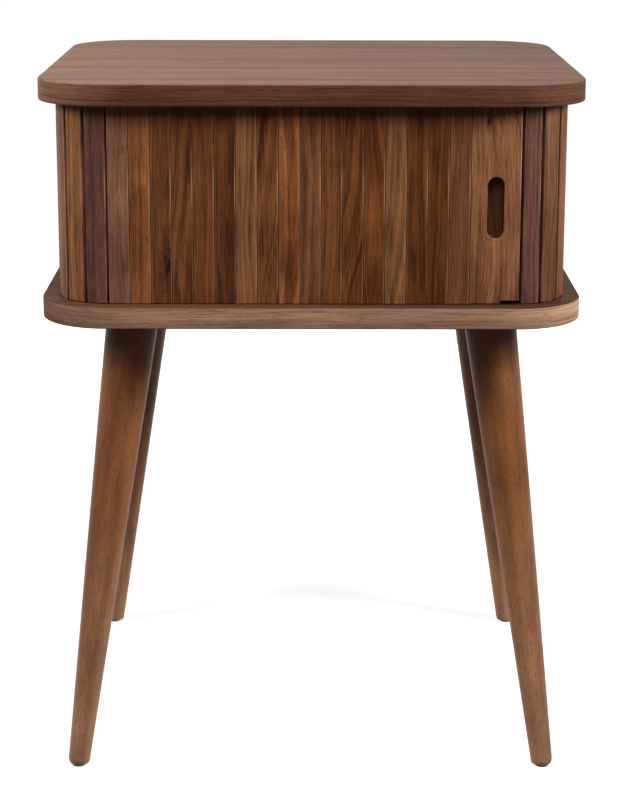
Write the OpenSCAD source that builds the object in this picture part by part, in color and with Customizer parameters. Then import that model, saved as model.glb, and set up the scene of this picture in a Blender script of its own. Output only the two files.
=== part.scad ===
// Bedside table with a tambour door: a low cabinet between two rounded boards, on four splayed legs.
// Frame: millimetres, +Z up, the door faces -Y. The origin is on the floor under the middle of the table.

/* [Table] */
// Width of the top and bottom boards
board_w = 450; // [420:1:520]
// Depth of the top and bottom boards
board_d = 380; // [340:1:460]
// Thickness of the top and bottom boards
board_t = 18; // [15:0.5:24]
// Plan radius of the boards' corners
board_corner_r = 58; // [50:1:70]
// Clear height between the two boards
cabinet_h = 164; // [130:1:240]
// Height of the underside of the bottom board above the floor
underside_z = 390; // [300:1:480]
// How far the slatted body stands in from the boards' edges
body_inset = 13.8; // [10:0.1:16]
// Plan radius of the slatted body's corners, at the slats' faces
body_corner_r = 45.5; // [40:0.5:52]

/* [Tambour slats] */
// Distance from one slat to the next along the canvas
slat_pitch = 17.35; // [15:0.05:20]
// Open joint between two slats
slat_gap = 0.4; // [0.3:0.1:1]
// Thickness of a slat
slat_t = 7; // [6:0.5:8]
// Chamfer on a slat's long front edges
slat_arris = 0.5; // [0.2:0.1:1]
// Number of regular slats across the front, left of the lead slat
front_slats = 17; // [12:1:17]
// Gap between a slat's shoulders and the boards
shoulder_gap = 0.8; // [0.5:0.1:1.5]
// Width of the tongue on a slat's ends
tongue_w = 9; // [6:0.5:11]
// Thickness of the tongue
tongue_t = 4; // [3:0.1:4.5]
// How far the tongue's front lies behind the slat's face
tongue_setback = 1; // [0.8:0.1:1.5]
// Depth of the routed track
track_depth = 7; // [5:0.5:9]
// Room between the tongues and the bottom of the lower track
track_floor_gap = 0.3; // [0.2:0.1:0.6]
// Room between the tongues and the roof of the upper track
track_roof_gap = 1.5; // [1:0.1:3]
// Room between the tongues and the outer wall of the track
track_outer_gap = 0.5; // [0.3:0.1:0.8]
// Room between the tongues and the inner wall of the track, which flat slats need on the bends
track_inner_gap = 1.3; // [1.2:0.1:2]
// Thickness of the canvas that the slats are glued to
canvas_t = 0.5; // [0.3:0.1:0.8]
// How far the canvas ends short of the slats' shoulders
canvas_inset = 6; // [3:0.5:12]
// Glue line between canvas and slats
glue_line = 0.05; // [0.05:0.01:0.1]

/* [Lead slat] */
// Width of the lead slat, which carries the finger slot
lead_w = 40.45; // [34:0.05:44]
// Extra thickness behind the lead slat
lead_rib_t = 5; // [3:0.5:6]
// Width of the thick part of the lead slat
lead_rib_w = 30; // [24:0.5:32]
// Width of the finger slot
grip_w = 14; // [12:0.5:20]
// Height of the finger slot
grip_h = 50.5; // [35:0.5:70]
// Wood left behind the finger slot
grip_floor_t = 3; // [2:0.5:5]
// Height of the finger slot's middle above the cabinet's mid height
grip_rise = -1.6; // [-20:0.1:30]
// Width of the relief under the lead slat's closing corner
relief_w = 15; // [8:0.5:20]
// Height of that relief
relief_h = 2.5; // [1:0.1:4]

/* [Fixed slats] */
// Distance along the bend from its start to the closing jamb slat
jamb_start = 4.4; // [4:0.1:8]
// Space that the jamb slat takes along the bend
jamb_pitch = 15.2; // [13:0.1:17]

/* [Carcass] */
// Thickness of the liner boards that form the compartment
liner_t = 16; // [12:0.5:19]
// Room between the slats' backs and the liner boards
liner_clear = 2.5; // [2:0.1:4]
// Thickness of the compartment's back board
inner_back_t = 12; // [9:0.5:16]
// Thickness of the outer back panel
back_t = 6; // [4:0.5:8]
// Running room between the slats' faces and the outer back panel
back_clear = 1; // [0.8:0.1:2]
// Depth of the grooves that hold the outer back panel
back_groove = 5; // [3:0.5:7]
// Fit of the outer back panel in its grooves
back_fit = 0.3; // [0.2:0.1:0.5]
// How far the outer back panel reaches over each rear bend
back_lap = 4; // [2:0.5:8]

/* [Legs] */
// How far the leg tops' centres stand in from the boards' left and right ends
leg_top_x = 74; // [60:1:95]
// How far the leg tops' centres stand in from the boards' front and rear edges
leg_top_y = 78; // [60:1:100]
// How far the feet's centres stand in from the boards' left and right ends
foot_x = 25; // [10:1:55]
// How far the feet's centres stand in from the boards' front and rear edges
foot_y = 18; // [5:1:40]
// Diameter of a leg at its top
leg_top_d = 45; // [38:0.5:50]
// Diameter of a leg at its foot
leg_foot_d = 18.5; // [16:0.5:26]
// Rounding of the foot's edge
foot_round = 4.5; // [2:0.5:6]
// Diameter of the glide under a foot
glide_d = 11; // [8:0.5:14]
// Thickness of the glide
glide_t = 2; // [1.5:0.1:3]
// Diameter of the glide's nail
glide_nail_d = 2.4; // [2:0.1:3]
// Length of the glide's nail
glide_nail_l = 14; // [10:1:18]

/* [Fasteners] */
// Diameter of the hanger bolts that hold the legs
bolt_d = 8; // [6:0.5:8]
// Length of bolt inside a leg
bolt_in_leg = 40; // [25:1:50]
// Diameter of the threaded inserts in the bottom board
insert_d = 12; // [11:0.5:14]
// Length of the threaded inserts
insert_l = 13; // [10:0.5:14]
// Diameter of the dowels
dowel_d = 8; // [6:1:10]
// Length of the dowels
dowel_l = 30; // [24:1:36]
// How far the dowels reach into the top board
dowel_in_board = 11; // [8:0.5:13]
// Shank diameter of the carcass screws
screw_d = 5; // [4:0.5:6]
// Length of the carcass screws
screw_l = 50; // [40:1:60]
// Head diameter of the carcass screws
screw_head_d = 10; // [8:0.5:12]
// Height of the countersunk screw heads
screw_head_h = 3; // [2:0.5:4]

/* [Hidden] */
$fn = 96;
eps = 0.01;
past = 1;

floor_z = underside_z + board_t;
ceiling_z = floor_z + cabinet_h;

body_w = board_w - 2 * body_inset;
body_d = board_d - 2 * body_inset;

// The pitch line runs along the slats' backs. It is the line that keeps its length on the bends.
pitch_r = body_corner_r - slat_t;
pitch_x = body_w / 2 - slat_t;
pitch_front_y = -(body_d / 2 - slat_t);
pitch_rear_y = body_d / 2 - back_t - back_clear - slat_t;
bend_x = pitch_x - pitch_r;
bend_front_y = pitch_front_y + pitch_r;
bend_rear_y = pitch_rear_y - pitch_r;
bend_len = pitch_r * PI / 2;
side_len = bend_rear_y - bend_front_y;

// The closed lead slat meets the jamb slat, and the regular slats follow it one pitch apart.
lead_mid_x = bend_x + jamb_start - slat_gap / 2 - lead_w / 2;
lead_left_s = -bend_x - lead_mid_x + slat_gap / 2 + lead_w / 2;
curtain_s = lead_left_s + front_slats * slat_pitch;

// The slats past the front ones cover the left side and both its bends, however far they start along it.
bend_slats = ceil(bend_len / slat_pitch);
side_slats = floor((bend_len + side_len) / slat_pitch) - bend_slats;
tail_slats = ceil((2 * bend_len + side_len - min(curtain_s, 0)) / slat_pitch) - bend_slats - side_slats;
curtain_slats = bend_slats + side_slats + tail_slats;
fixed_run_start = jamb_start + jamb_pitch;
fixed_side_slats = floor((bend_len + side_len - fixed_run_start) / slat_pitch) - bend_slats + 1;
fixed_tail_slats =
    ceil((2 * bend_len + side_len - fixed_run_start) / slat_pitch) - bend_slats + 1 - fixed_side_slats;

slat_z0 = floor_z + shoulder_gap;
slat_z1 = ceiling_z - shoulder_gap;
tongue_z0 = floor_z - track_depth + track_floor_gap;
tongue_z1 = ceiling_z + track_depth - track_roof_gap;
track_out = slat_t - tongue_setback + track_outer_gap;
track_in = slat_t - tongue_setback - tongue_t - track_inner_gap;

liner_x = pitch_x - liner_clear;
liner_in_x = liner_x - liner_t;
liner_r = pitch_r - liner_clear;
liner_reach = sqrt(liner_r * liner_r - pow(max(liner_in_x - bend_x, 0), 2));
inner_back_y = bend_rear_y + liner_reach;
back_y = body_d / 2 - back_t;
back_half_w = bend_x + back_lap;

leg_top = [board_w / 2 - leg_top_x, board_d / 2 - leg_top_y];
foot = [board_w / 2 - foot_x, board_d / 2 - foot_y];
leg_run = [foot.x - leg_top.x, foot.y - leg_top.y, glide_t - underside_z];
leg_axis_l = norm(leg_run);
leg_tilt = acos(-leg_run.z / leg_axis_l);
leg_turn = atan2(leg_run.y, leg_run.x);
dowel_in_liner = dowel_l - dowel_in_board;

front_slat_colors = ["#6b4431", "#7a4e33", "#4a2f27", "#5c3d2e", "#6f4634", "#573a2c", "#8a6242", "#6a4836",
    "#855436", "#4d3029", "#664433", "#6d4a37", "#5a352b", "#77523b", "#5f4434", "#54392d", "#5d3f33"];
corner_slat_colors = ["#4f342c", "#74502f", "#6c5448", "#62443a"];
board_color = "#7b5945";
liner_color = "#5f4435";
leg_color = "#5c4030";
steel_color = "#b9bcc0";
brass_color = "#b08d4a";
canvas_color = "#2b2623";
beech_color = "#cfa878";

function two(n) = n < 10 ? str("0", n) : str(n);

// A point on the pitch line, s millimetres past the start of the left front bend.
function track(s) =
    s <= 0 ? [-bend_x - s, pitch_front_y]
    : s <= bend_len ? arc_point([-bend_x, bend_front_y], 270 - s / pitch_r * 180 / PI)
    : s <= bend_len + side_len ? [-pitch_x, bend_front_y + s - bend_len]
    : s <= 2 * bend_len + side_len
        ? arc_point([-bend_x, bend_rear_y], 180 - (s - bend_len - side_len) / pitch_r * 180 / PI)
    : [-bend_x + s - 2 * bend_len - side_len, pitch_rear_y];

function arc_point(centre, angle) = centre + pitch_r * [cos(angle), sin(angle)];

// Puts its children on the chord between two points of the pitch line, facing outwards.
module on_track(s, length) {
    from = track(s);
    to = track(s + length);
    middle = (from + to) / 2;
    translate([middle.x, middle.y, 0])
        rotate([0, 0, atan2(from.y - to.y, from.x - to.x)])
            children();
}

module slat_blank(width) {
    translate([0, 0, slat_z0])
        linear_extrude(slat_z1 - slat_z0)
            polygon([
                [-width / 2, 0], [-width / 2, -slat_t + slat_arris], [-width / 2 + slat_arris, -slat_t],
                [width / 2 - slat_arris, -slat_t], [width / 2, -slat_t + slat_arris], [width / 2, 0]
            ]);
}

module tongue(width) {
    translate([-width / 2, tongue_setback - slat_t, tongue_z0])
        cube([width, tongue_t, tongue_z1 - tongue_z0]);
}

module slat(s, length = slat_pitch) {
    on_track(s, length)
        union() {
            slat_blank(length - slat_gap);
            tongue(tongue_w);
        }
}

// Slats first to last of the moving curtain, counted from the front ones on.
module slat_run(first, last) {
    for (n = [first:last]) slat(curtain_s + (n - 1) * slat_pitch);
}

// Slats first to last behind the jamb slat, on the fixed right-hand side.
module fixed_run(first, last) {
    mirror([1, 0, 0])
        for (n = [first:last]) slat(fixed_run_start + (n - 1) * slat_pitch);
}

// A rectangle with round corners, from x0 and y0 to x1 and y1.
module round_rect(x0, y0, x1, y1, r) {
    translate([x0 + r, y0]) square([x1 - x0 - 2 * r, y1 - y0]);
    translate([x0, y0 + r]) square([x1 - x0, y1 - y0 - 2 * r]);
    for (x = [x0 + r, x1 - r], y = [y0 + r, y1 - r])
        translate([x, y]) circle(r);
}

module board_outline() {
    round_rect(-board_w / 2, -board_d / 2, board_w / 2, board_d / 2, board_corner_r);
}

// The pitch line's loop, moved out by a distance.
module loop(out) {
    round_rect(-pitch_x - out, pitch_front_y - out, pitch_x + out, pitch_rear_y + out, pitch_r + out);
}

module track_outline() {
    difference() {
        loop(track_out);
        loop(track_in);
    }
}

module back_groove_outline() {
    translate([-back_half_w - back_fit, back_y - back_fit])
        square([2 * (back_half_w + back_fit), back_t + 2 * back_fit]);
}

// Where dowels and screws stand in the liners and the inner back.
joint_points = [
    for (side = [-1, 1], y = [bend_front_y, 0, bend_rear_y - inner_back_t])
        [side * (liner_in_x + liner_t / 2), y]
];
back_joint_points = [for (x = [-liner_in_x / 2, liner_in_x / 2]) [x, inner_back_y - inner_back_t / 2]];
carcass_points = concat(joint_points, back_joint_points);

module at_legs() {
    for (x = [-leg_top.x, leg_top.x], y = [-leg_top.y, leg_top.y])
        translate([x, y, 0]) children();
}

module top_panel() {
    color(board_color)
    difference() {
        translate([0, 0, ceiling_z]) linear_extrude(board_t) board_outline();
        translate([0, 0, ceiling_z - past]) linear_extrude(track_depth + past) track_outline();
        translate([0, 0, ceiling_z - past]) linear_extrude(back_groove + past) back_groove_outline();
        for (p = carcass_points)
            translate([p.x, p.y, ceiling_z - past]) cylinder(d = dowel_d, h = dowel_in_board + past);
    }
}

module bottom_panel() {
    color(board_color)
    difference() {
        translate([0, 0, underside_z]) linear_extrude(board_t) board_outline();
        translate([0, 0, floor_z - track_depth]) linear_extrude(track_depth + past) track_outline();
        translate([0, 0, floor_z - back_groove]) linear_extrude(back_groove + past) back_groove_outline();
        at_legs() translate([0, 0, underside_z - past]) cylinder(d = insert_d, h = insert_l + past);
        for (p = carcass_points) translate([p.x, p.y, 0]) screw_void();
    }
}

// The room that a carcass screw fills, open below the bottom board.
module screw_void() {
    translate([0, 0, underside_z - past]) cylinder(d = screw_head_d, h = past + eps);
    carcass_screw();
}

module carcass_screw() {
    translate([0, 0, underside_z]) cylinder(d1 = screw_head_d, d2 = screw_d, h = screw_head_h);
    translate([0, 0, underside_z]) cylinder(d = screw_d, h = screw_l);
}

// A liner board's plan: straight inside, with its outer corners rounded along the curtain's bends.
module liner_outline() {
    intersection() {
        round_rect(-liner_x, bend_front_y - liner_r, liner_x, bend_rear_y + liner_r, liner_r);
        translate([liner_in_x, bend_front_y - liner_reach])
            square([liner_t, inner_back_y - bend_front_y + liner_reach]);
    }
}

module liner() {
    difference() {
        translate([0, 0, floor_z]) linear_extrude(cabinet_h) liner_outline();
        for (p = joint_points) carcass_bores(p);
    }
}

// The dowel's bore from above and the screw's bore from below, in a liner or the inner back.
module carcass_bores(p) {
    translate([p.x, p.y, ceiling_z - dowel_in_liner]) cylinder(d = dowel_d, h = dowel_in_liner + past);
    translate([p.x, p.y, floor_z - past]) cylinder(d = screw_d, h = screw_l - board_t + past);
}

module right_liner() {
    color(liner_color) liner();
}

module left_liner() {
    color(liner_color) mirror([1, 0, 0]) liner();
}

module inner_back() {
    color(liner_color)
    difference() {
        translate([-liner_in_x, inner_back_y - inner_back_t, floor_z])
            cube([2 * liner_in_x, inner_back_t, cabinet_h]);
        for (p = back_joint_points) carcass_bores(p);
    }
}

module back_panel() {
    color(board_color)
        translate([-back_half_w, back_y, floor_z - back_groove + back_fit])
            cube([2 * back_half_w, back_t, cabinet_h + 2 * (back_groove - back_fit)]);
}

module obround(width, height) {
    square([width, height - width], center = true);
    for (y = [-1, 1] * (height - width) / 2)
        translate([0, y]) circle(d = width);
}

module lead_slat() {
    grip_z = (floor_z + ceiling_z) / 2 + grip_rise;
    grip_depth = slat_t + lead_rib_t - grip_floor_t;
    color("#8a5f3e")
    translate([lead_mid_x, pitch_front_y, 0])
    difference() {
        union() {
            slat_blank(lead_w);
            tongue(lead_rib_w);
            translate([-lead_rib_w / 2, -eps, slat_z0])
                cube([lead_rib_w, lead_rib_t + eps, slat_z1 - slat_z0]);
        }
        translate([0, -slat_t - past, grip_z])
            rotate([-90, 0, 0]) linear_extrude(grip_depth + past) obround(grip_w, grip_h);
        translate([lead_w / 2 - relief_w, -slat_t - past, tongue_z0 - past])
            cube([relief_w + past, slat_t + lead_rib_t + 2 * past, slat_z0 - tongue_z0 + relief_h + past]);
    }
}

// Door slat n, counted from the left bend towards the lead slat.
module door_slat(n) {
    color(front_slat_colors[(n - 1) % len(front_slat_colors)]) slat_run(1 - n, 1 - n);
}

module corner_slat(n) {
    color(corner_slat_colors[(n - 1) % len(corner_slat_colors)]) slat_run(n, n);
}

module first_side_slat() {
    color(board_color) slat_run(bend_slats + 1, bend_slats + 1);
}

module side_slats() {
    color(board_color) slat_run(bend_slats + 2, bend_slats + side_slats);
}

module tail_slat(n) {
    color(corner_slat_colors[(n - 1) % len(corner_slat_colors)])
        slat_run(bend_slats + side_slats + n, bend_slats + side_slats + n);
}

// The canvas bends only along the lines between two slats, because it is glued flat to each of them.
canvas_start = lead_left_s - slat_gap / 2 - (lead_w - lead_rib_w) / 2 + slat_gap;
canvas_stops = concat([canvas_start], [for (n = [-front_slats:curtain_slats]) curtain_s + n * slat_pitch]);
canvas_last = len(canvas_stops) - 1;

function canvas_point(i) = track(canvas_stops[i]);

// The direction from the slats into the cabinet, square to the canvas between its stops i and i + 1.
function canvas_inward(i) =
    let (run = canvas_point(i + 1) - canvas_point(i)) [run.y, -run.x] / norm(run);

// The canvas's outline in plan at a depth behind the slats' backs, mitred at each bend.
function canvas_edge(depth) = [
    for (i = [0:canvas_last])
        let (
            before = canvas_inward(max(i - 1, 0)),
            after = canvas_inward(min(i, canvas_last - 1))
        )
        canvas_point(i) + depth * (before + after) / (1 + before * after)
];

function reversed(points) = [for (i = [len(points) - 1:-1:0]) points[i]];

module canvas() {
    color(canvas_color)
    translate([0, 0, slat_z0 + canvas_inset])
        linear_extrude(slat_z1 - slat_z0 - 2 * canvas_inset)
            polygon(concat(canvas_edge(glue_line), reversed(canvas_edge(glue_line + canvas_t))));
}

module jamb_slat() {
    color("#56392f") mirror([1, 0, 0]) slat(jamb_start, jamb_pitch);
}

module right_corner_slats() {
    color("#6e4b38") fixed_run(1, bend_slats - 1);
}

module right_side_slats() {
    color(board_color) fixed_run(bend_slats, bend_slats + fixed_side_slats - 1);
}

module right_rear_slats() {
    color("#6e4b38")
        fixed_run(bend_slats + fixed_side_slats, bend_slats + fixed_side_slats + fixed_tail_slats - 1);
}

// The turned leg, upright, with its foot's middle at the origin and its axis along Z.
module turned_leg() {
    rotate_extrude()
        difference() {
            union() {
                polygon([
                    [0, 0], [leg_foot_d / 2 - foot_round, 0], [leg_foot_d / 2, foot_round],
                    [leg_top_d / 2, leg_axis_l], [leg_top_d / 2, leg_axis_l + leg_top_d / 2],
                    [0, leg_axis_l + leg_top_d / 2]
                ]);
                translate([leg_foot_d / 2 - foot_round, foot_round]) circle(foot_round);
            }
            translate([-leg_top_d, -past]) square([leg_top_d, leg_axis_l + leg_top_d]);
        }
}

// A leg under the corner given by the signs of x and y, cut level at the board and at the glide.
module leg(side_x, side_y) {
    color(leg_color)
    mirror([side_x < 0 ? 1 : 0, 0, 0]) mirror([0, side_y < 0 ? 1 : 0, 0])
    difference() {
        intersection() {
            translate([foot.x, foot.y, glide_t])
                rotate([0, 0, leg_turn]) rotate([0, -leg_tilt, 0])
                    translate([0, 0, -glide_t]) turned_leg();
            translate([0, 0, glide_t]) cube([board_w, board_d, underside_z - glide_t]);
        }
        translate([leg_top.x, leg_top.y, underside_z - bolt_in_leg])
            cylinder(d = bolt_d, h = bolt_in_leg + past);
        translate([foot.x, foot.y, glide_t - past])
            cylinder(d = glide_nail_d, h = glide_nail_l + past);
    }
}

module front_left_leg() {
    leg(-1, -1);
}

module front_right_leg() {
    leg(1, -1);
}

module rear_left_leg() {
    leg(-1, 1);
}

module rear_right_leg() {
    leg(1, 1);
}

module leg_bolts() {
    color(steel_color)
    at_legs()
    translate([0, 0, underside_z - bolt_in_leg])
        cylinder(d = bolt_d, h = bolt_in_leg + insert_l);
}

module leg_inserts() {
    color(brass_color)
    at_legs()
    translate([0, 0, underside_z])
    difference() {
        cylinder(d = insert_d, h = insert_l);
        translate([0, 0, -past]) cylinder(d = bolt_d, h = insert_l + 2 * past);
    }
}

module glides() {
    color("#3a3431")
    for (x = [-foot.x, foot.x], y = [-foot.y, foot.y])
        translate([x, y, 0]) {
            cylinder(d = glide_d, h = glide_t);
            cylinder(d = glide_nail_d, h = glide_t + glide_nail_l);
        }
}

module dowels() {
    color(beech_color)
    for (p = carcass_points)
        translate([p.x, p.y, ceiling_z - dowel_in_liner]) cylinder(d = dowel_d, h = dowel_l);
}

module carcass_screws() {
    color(steel_color)
    for (p = carcass_points) translate([p.x, p.y, 0]) carcass_screw();
}

top_panel();
bottom_panel();
left_liner();
right_liner();
inner_back();
back_panel();
lead_slat();
for (n = [1:front_slats])
    door_slat(n);
for (n = [1:bend_slats])
    corner_slat(n);
first_side_slat();
side_slats();
for (n = [1:tail_slats])
    tail_slat(n);
canvas();
jamb_slat();
right_corner_slats();
right_side_slats();
right_rear_slats();
front_left_leg();
front_right_leg();
rear_left_leg();
rear_right_leg();
leg_bolts();
leg_inserts();
glides();
dowels();
carcass_screws();
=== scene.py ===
"""A walnut bedside table with a sliding tambour door: its wood, slats, legs, canvas, light and camera."""
import math
import bmesh
import bpy
from mathutils import Matrix, Vector


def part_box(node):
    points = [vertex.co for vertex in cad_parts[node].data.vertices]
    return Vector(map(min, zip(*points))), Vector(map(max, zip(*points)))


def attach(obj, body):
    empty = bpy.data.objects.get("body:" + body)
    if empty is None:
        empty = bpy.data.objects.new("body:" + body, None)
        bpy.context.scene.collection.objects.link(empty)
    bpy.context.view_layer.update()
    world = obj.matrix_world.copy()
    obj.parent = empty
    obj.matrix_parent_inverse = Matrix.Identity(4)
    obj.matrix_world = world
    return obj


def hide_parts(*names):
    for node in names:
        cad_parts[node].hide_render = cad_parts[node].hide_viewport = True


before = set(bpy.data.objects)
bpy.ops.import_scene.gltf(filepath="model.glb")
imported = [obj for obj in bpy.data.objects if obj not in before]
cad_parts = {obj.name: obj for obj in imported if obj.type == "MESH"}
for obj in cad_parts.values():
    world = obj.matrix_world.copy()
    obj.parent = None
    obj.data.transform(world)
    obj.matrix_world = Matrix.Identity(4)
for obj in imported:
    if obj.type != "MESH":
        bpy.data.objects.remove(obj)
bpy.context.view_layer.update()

# ---------------------------------------------------------------- sizes, in metres
MM = 0.001
top_low, top_high = (Vector(p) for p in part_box("top_panel"))
bottom_low, bottom_high = (Vector(p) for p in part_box("bottom_panel"))

# The two boards, and the body that stands between their inner faces.
FLOOR_Z, CEILING_Z = bottom_high.z, top_low.z
CORNER_R, BODY_INSET, BODY_R = 58 * MM, 13.8 * MM, 45.5 * MM
BOARD_EASE = 1.3 * MM
FACE_RING = BOARD_EASE * 1.8    # the inset of a ring that keeps each face's shading flat
BACK_T, BACK_CLEAR = 6 * MM, 1 * MM

# The slats, the tongues at their ends, and the track that the tongues run in.
SLAT_PITCH, SLAT_GAP, SLAT_T, ARRIS = 17.35 * MM, 0.4 * MM, 7 * MM, 0.7 * MM
SHOULDER_GAP = 0.8 * MM
SLAT_Z0, SLAT_Z1 = FLOOR_Z + SHOULDER_GAP, CEILING_Z - SHOULDER_GAP
TONGUE_W, TONGUE_T, TONGUE_SETBACK = 9 * MM, 4 * MM, 1 * MM
TONGUE_DOWN, TONGUE_UP = 6.7 * MM, 5.5 * MM
TONGUE_SPANS = ((FLOOR_Z - TONGUE_DOWN, SLAT_Z0), (SLAT_Z1, CEILING_Z + TONGUE_UP))
TRACK_DEPTH, TRACK_OUT, TRACK_IN = 7 * MM, 6.5 * MM, 0.7 * MM
FRONT_SLATS = 17
JAMB_START, JAMB_PITCH = 4.4 * MM, 15.2 * MM

# The lead slat, with the rib behind it, its finger slot and its relief.
LEAD_W, LEAD_RIB_W, LEAD_RIB_T, RIB_SETBACK = 40.45 * MM, 30 * MM, 5 * MM, 0.5 * MM
GRIP_W, GRIP_H, GRIP_DEPTH, GRIP_RISE = 14 * MM, 50.5 * MM, 9 * MM, -1.6 * MM
GRIP_RIM, GRIP_COVE = 0.9 * MM, 1.5 * MM
RELIEF_W, RELIEF_H = 15 * MM, 2.5 * MM

# The legs: where their axes meet the glides and the bottom board, and their radii there.
FOOT_X, FOOT_Y, FOOT_Z = 0.200, 0.172, 0.002
HEAD_X, HEAD_Y = 0.151, 0.112
LEG_HEAD_R, LEG_FOOT_R = 22.5 * MM, 9.25 * MM
FOOT_EASE, FOOT_EASE_UP = 4.25 * MM, 6.5 * MM
SOLE_RING = 0.6                 # the share of the sole's radius at which it has a ring
LEG_SIDES, LEG_STEPS = 64, 12

# The canvas, in strips that are glued to the backs of the slats.
CANVAS_T, CANVAS_INSET, GLUE = 0.5 * MM, 6 * MM, 0.05 * MM
STRIP_GAP, STRIP_TAPER = 0.16 * MM, 0.5 * MM

# The line along the slats' backs, which goes round the left front and the left rear bend.
BEND_R = BODY_R - SLAT_T
PITCH_X = top_high.x - BODY_INSET - SLAT_T
PITCH_FRONT = top_low.y + BODY_INSET + SLAT_T
PITCH_REAR = top_high.y - BODY_INSET - BACK_T - BACK_CLEAR - SLAT_T
BEND_X, BEND_FRONT, BEND_REAR = PITCH_X - BEND_R, PITCH_FRONT + BEND_R, PITCH_REAR - BEND_R
BEND_LEN, SIDE_LEN = BEND_R * math.pi / 2, BEND_REAR - BEND_FRONT
BEND_SLATS = math.ceil(BEND_LEN / SLAT_PITCH)
SIDE_SLATS = math.floor((BEND_LEN + SIDE_LEN) / SLAT_PITCH) - BEND_SLATS
TAIL_SLATS = math.ceil((2 * BEND_LEN + SIDE_LEN) / SLAT_PITCH) - BEND_SLATS - SIDE_SLATS


def on_bend(centre_y, angle):
    return Vector((-BEND_X, centre_y)) + BEND_R * Vector((math.cos(angle), math.sin(angle)))


def track(s):
    """A point on the line along the slats' backs, s past the start of the left front bend, from above."""
    if s <= 0:
        return Vector((-BEND_X - s, PITCH_FRONT))
    if s <= BEND_LEN:
        return on_bend(BEND_FRONT, math.radians(270) - s / BEND_R)
    if s <= BEND_LEN + SIDE_LEN:
        return Vector((-PITCH_X, BEND_FRONT + s - BEND_LEN))
    if s <= 2 * BEND_LEN + SIDE_LEN:
        return on_bend(BEND_REAR, math.pi - (s - BEND_LEN - SIDE_LEN) / BEND_R)
    return Vector((-BEND_X + s - 2 * BEND_LEN - SIDE_LEN, PITCH_REAR))


def place(s, length, mirrored=False):
    """The matrix that puts a slat on its chord of the track: X along the chord, Z up, its face towards -Y."""
    a, b = track(s), track(s + length)
    if mirrored:
        a, b = Vector((-b.x, b.y)), Vector((-a.x, a.y))
    middle = (a + b) / 2
    turn = math.atan2(a.y - b.y, a.x - b.x)
    return Matrix.Translation((middle.x, middle.y, 0)) @ Matrix.Rotation(turn, 4, "Z")


# ---------------------------------------------------------------- mesh helpers
def new_piece(name, bm, body, smooth_angle=40):
    """An object from a bmesh, riding on a body, shaded smooth but for the edges past an angle in degrees."""
    bmesh.ops.remove_doubles(bm, verts=bm.verts, dist=1e-6)
    bmesh.ops.recalc_face_normals(bm, faces=bm.faces)
    mesh = bpy.data.meshes.new(name)
    bm.to_mesh(mesh)
    bm.free()
    mesh.shade_smooth()
    mesh.set_sharp_from_angle(angle=math.radians(smooth_angle))
    piece = bpy.data.objects.new(name, mesh)
    bpy.context.scene.collection.objects.link(piece)
    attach(piece, body)
    return piece


def new_rows(bm, rings):
    """A row of vertices for each ring of points."""
    return [[bm.verts.new(p) for p in ring] for ring in rings]


def skin(bm, rows):
    """Quads between rows of vertices, each row a ring as long as the next."""
    for low, high in zip(rows, rows[1:]):
        for i in range(len(low)):
            j = (i + 1) % len(low)
            bm.faces.new((low[i], low[j], high[j], high[i]))


def loft(bm, rings):
    """A solid through rings of points, capped at both ends."""
    rows = new_rows(bm, rings)
    skin(bm, rows)
    bm.faces.new(list(reversed(rows[0])))
    bm.faces.new(rows[-1])


def quarter(steps=4):
    """Points of a quarter circle from (0, 1) to (1, 0), as (out, along) pairs."""
    return [(math.sin(a), math.cos(a)) for a in (math.pi / 2 * i / steps for i in range(steps + 1))]


def round_rect(x0, y0, x1, y1, r, z, steps=14):
    """Points of a rectangle with round corners."""
    points = []
    corners = ((x1 - r, y0 + r, -90), (x1 - r, y1 - r, 0), (x0 + r, y1 - r, 90), (x0 + r, y0 + r, 180))
    for cx, cy, start in corners:
        for i in range(steps + 1):
            a = math.radians(start + 90 * i / steps)
            points.append(Vector((cx + r * math.cos(a), cy + r * math.sin(a), z)))
    return points


def slot_ring(width, height, y, steps=14):
    """Points of an upright slot with round ends, in the plane of a slat's face."""
    r, half = width / 2, height / 2 - width / 2
    angles = (math.pi * i / steps for i in range(steps + 1))
    upper = [(r * math.cos(a), half + r * math.sin(a)) for a in angles]
    lower = [(-x, -z) for x, z in upper]
    return [Vector((x, y, z)) for x, z in upper + lower]


def prism(bm, outline, z0, z1, where):
    """An upright bar with the outline's (x, y) points."""
    loft(bm, [[where @ Vector((x, y, z)) for x, y in outline] for z in (z0, z1)])


def tongue(bm, x0, x1, z0, z1, where):
    """A slat's tongue, which runs in a board's track."""
    y0 = TONGUE_SETBACK - SLAT_T
    y1 = y0 + TONGUE_T
    prism(bm, [(x0, y0), (x1, y0), (x1, y1), (x0, y1)], z0, z1, where)


# ---------------------------------------------------------------- material helpers
def colour(code):
    """A linear colour from a hex code."""
    parts = [int(code[i:i + 2], 16) / 255 for i in (0, 2, 4)]
    return [c / 12.92 if c <= 0.04045 else ((c + 0.055) / 1.055) ** 2.4 for c in parts] + [1]


def scaled(tone, factor):
    return [c * factor for c in tone[:3]] + [1]


def grey(value):
    return value, value, value, 1


def new_tree(name):
    """A material and its emptied node tree."""
    material = bpy.data.materials.new(name)
    material.use_nodes = True
    material.node_tree.nodes.clear()
    return material, material.node_tree


def add(tree, kind, inputs=None, **settings):
    """A node with its settings, its plain inputs and its links."""
    node = tree.nodes.new(kind)
    for key, value in settings.items():
        setattr(node, key, value)
    for key, value in (inputs or {}).items():
        if isinstance(value, bpy.types.NodeSocket):
            tree.links.new(value, node.inputs[key])
        else:
            node.inputs[key].default_value = value
    return node


def maths(tree, operation, a, b=0.0, c=0.0, clamp=False):
    return add(tree, "ShaderNodeMath", {0: a, 1: b, 2: c}, operation=operation, use_clamp=clamp).outputs[0]


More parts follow.
